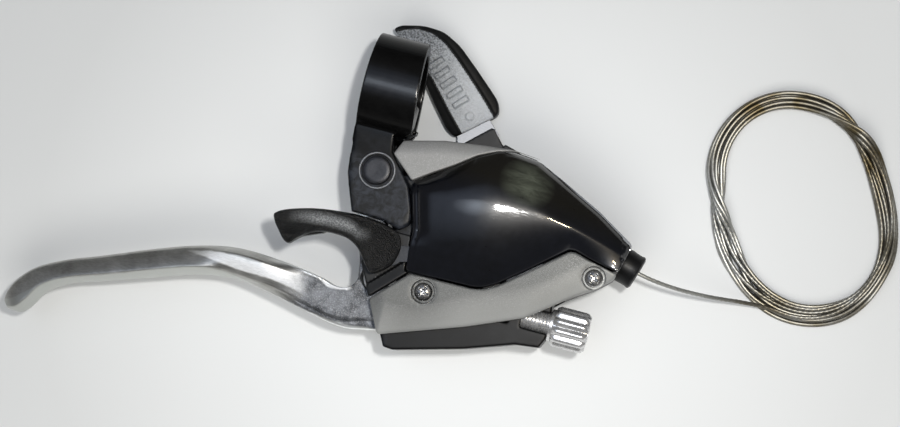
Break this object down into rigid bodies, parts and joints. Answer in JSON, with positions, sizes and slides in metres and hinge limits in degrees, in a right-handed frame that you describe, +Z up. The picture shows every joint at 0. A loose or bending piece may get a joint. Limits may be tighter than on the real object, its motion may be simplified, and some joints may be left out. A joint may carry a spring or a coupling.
{
  "type": "brake shift lever",
  "caption": "Right-hand flat-bar brake lever with a built-in trigger gear shifter, bar clamp, cable adjuster and a coiled bare gear wire.",
  "frame": {"origin": "centre of the handlebar clamp's bore", "axes": "+X along the handlebar towards the bicycle's middle, +Y back towards the rider, +Z up from the surface that the shifter pod lies on"},
  "size_m": [0.2331, 0.1145, 0.037],
  "materials": {
    "cast_black": "satin, mottled casting",
    "black_steel": "satin black oxide",
    "bright_steel": "bright plated",
    "stamped_steel": "stamped",
    "spring_steel": "drawn wire",
    "gloss_black": "high gloss",
    "silver_paint": "satin metallic",
    "black_plastic": "satin",
    "lever_alloy": "polished casting",
    "knob_alloy": "machined",
    "bush_brass": "drawn",
    "wire_steel": "stranded wire"
  },
  "bodies": {
    "bracket": {"bracket": "cast_black", "clamp_bolt": "black_steel", "lever_pivot_pin": "black_steel", "pivot_washer": "bright_steel", "pivot_clip": "black_steel", "reach_screw": "black_steel", "dome_cover": "gloss_black", "front_cover": "silver_paint", "upper_trim": "silver_paint", "side_cover": "black_plastic", "mid_housing": "black_plastic", "bottom_cover": "black_plastic", "pod_screws": "bright_steel", "cover_screws": "bright_steel", "base_plate": "stamped_steel", "top_plate": "stamped_steel", "plate_posts": "stamped_steel", "main_axle": "bright_steel", "axle_washer": "bright_steel", "axle_nut": "black_steel", "drum_spring": "spring_steel", "nose_collar": "black_plastic", "gear_wire_inner": "wire_steel", "gear_wire": "wire_steel", "gear_wire_coil": "wire_steel", "holding_pawl_pin": "black_steel", "trigger_pin": "black_steel", "trigger_spring": "spring_steel", "brake_spring": "spring_steel", "thumb_spring": "spring_steel"},
    "brake_lever": {"brake_lever": "lever_alloy", "lever_bush": "bush_brass"},
    "brake_adjuster": {"adjuster_barrel": "knob_alloy"},
    "thumb_lever": {"thumb_plate": "stamped_steel", "thumb_pad": "black_plastic", "feed_pawl_pin": "stamped_steel"},
    "feed_pawl": {"feed_pawl": "stamped_steel"},
    "shift_drum": {"cable_drum": "black_plastic", "index_ratchet": "stamped_steel", "feed_ratchet": "stamped_steel", "cable_nipple": "bush_brass", "gear_wire_wrap": "wire_steel"},
    "release_trigger": {"release_trigger": "black_plastic", "release_link": "stamped_steel"},
    "holding_pawl": {"holding_pawl": "stamped_steel"}
  },
  "joints": [
    {"name": "brake_lever_pivot", "type": "hinge", "parent": "bracket", "child": "brake_lever", "pos_m": [0.0023, -0.0229, 0], "axis": [0, 0, -1], "range_deg": [0, 26], "stiffness_Nm_per_rad": 0.4, "springref_deg": -20.05},
    {"name": "thumb_lever_pivot", "type": "hinge", "parent": "bracket", "child": "thumb_lever", "pos_m": [0.028, -0.0275, 0], "axis": [0, 0, 1], "range_deg": [0, 45], "stiffness_Nm_per_rad": 0.3, "springref_deg": -20.05},
    {"name": "drum_spin", "type": "hinge", "parent": "bracket", "child": "shift_drum", "pos_m": [0.028, -0.0275, 0], "axis": [0, 0, 1], "range_deg": [0, 45]},
    {"name": "feed_pawl_pivot", "type": "hinge", "parent": "thumb_lever", "child": "feed_pawl", "pos_m": [0.01536, -0.0202, 0], "axis": [0, 0, -1], "range_deg": [0, 12], "stiffness_Nm_per_rad": 0.01, "springref_deg": -17.19},
    {"name": "release_trigger_pivot", "type": "hinge", "parent": "bracket", "child": "release_trigger", "pos_m": [0.0118, -0.0436, 0], "axis": [0, 0, -1], "range_deg": [0, 12], "stiffness_Nm_per_rad": 0.08, "springref_deg": -20.05},
    {"name": "holding_pawl_pivot", "type": "hinge", "parent": "bracket", "child": "holding_pawl", "pos_m": [0.0415, -0.04, 0], "axis": [0, 0, 1], "range_deg": [0, 14.5]},
    {"name": "adjuster_turn", "type": "hinge", "parent": "bracket", "child": "brake_adjuster", "pos_m": [0.0628, -0.0509, 0], "axis": [1, 0, 0], "continuous": true}
  ],
  "couplings": [
    {"joint": "drum_spin", "follows": "thumb_lever_pivot", "ratio": 1},
    {"joint": "holding_pawl_pivot", "follows": "release_trigger_pivot", "ratio": 1.2}
  ]
}
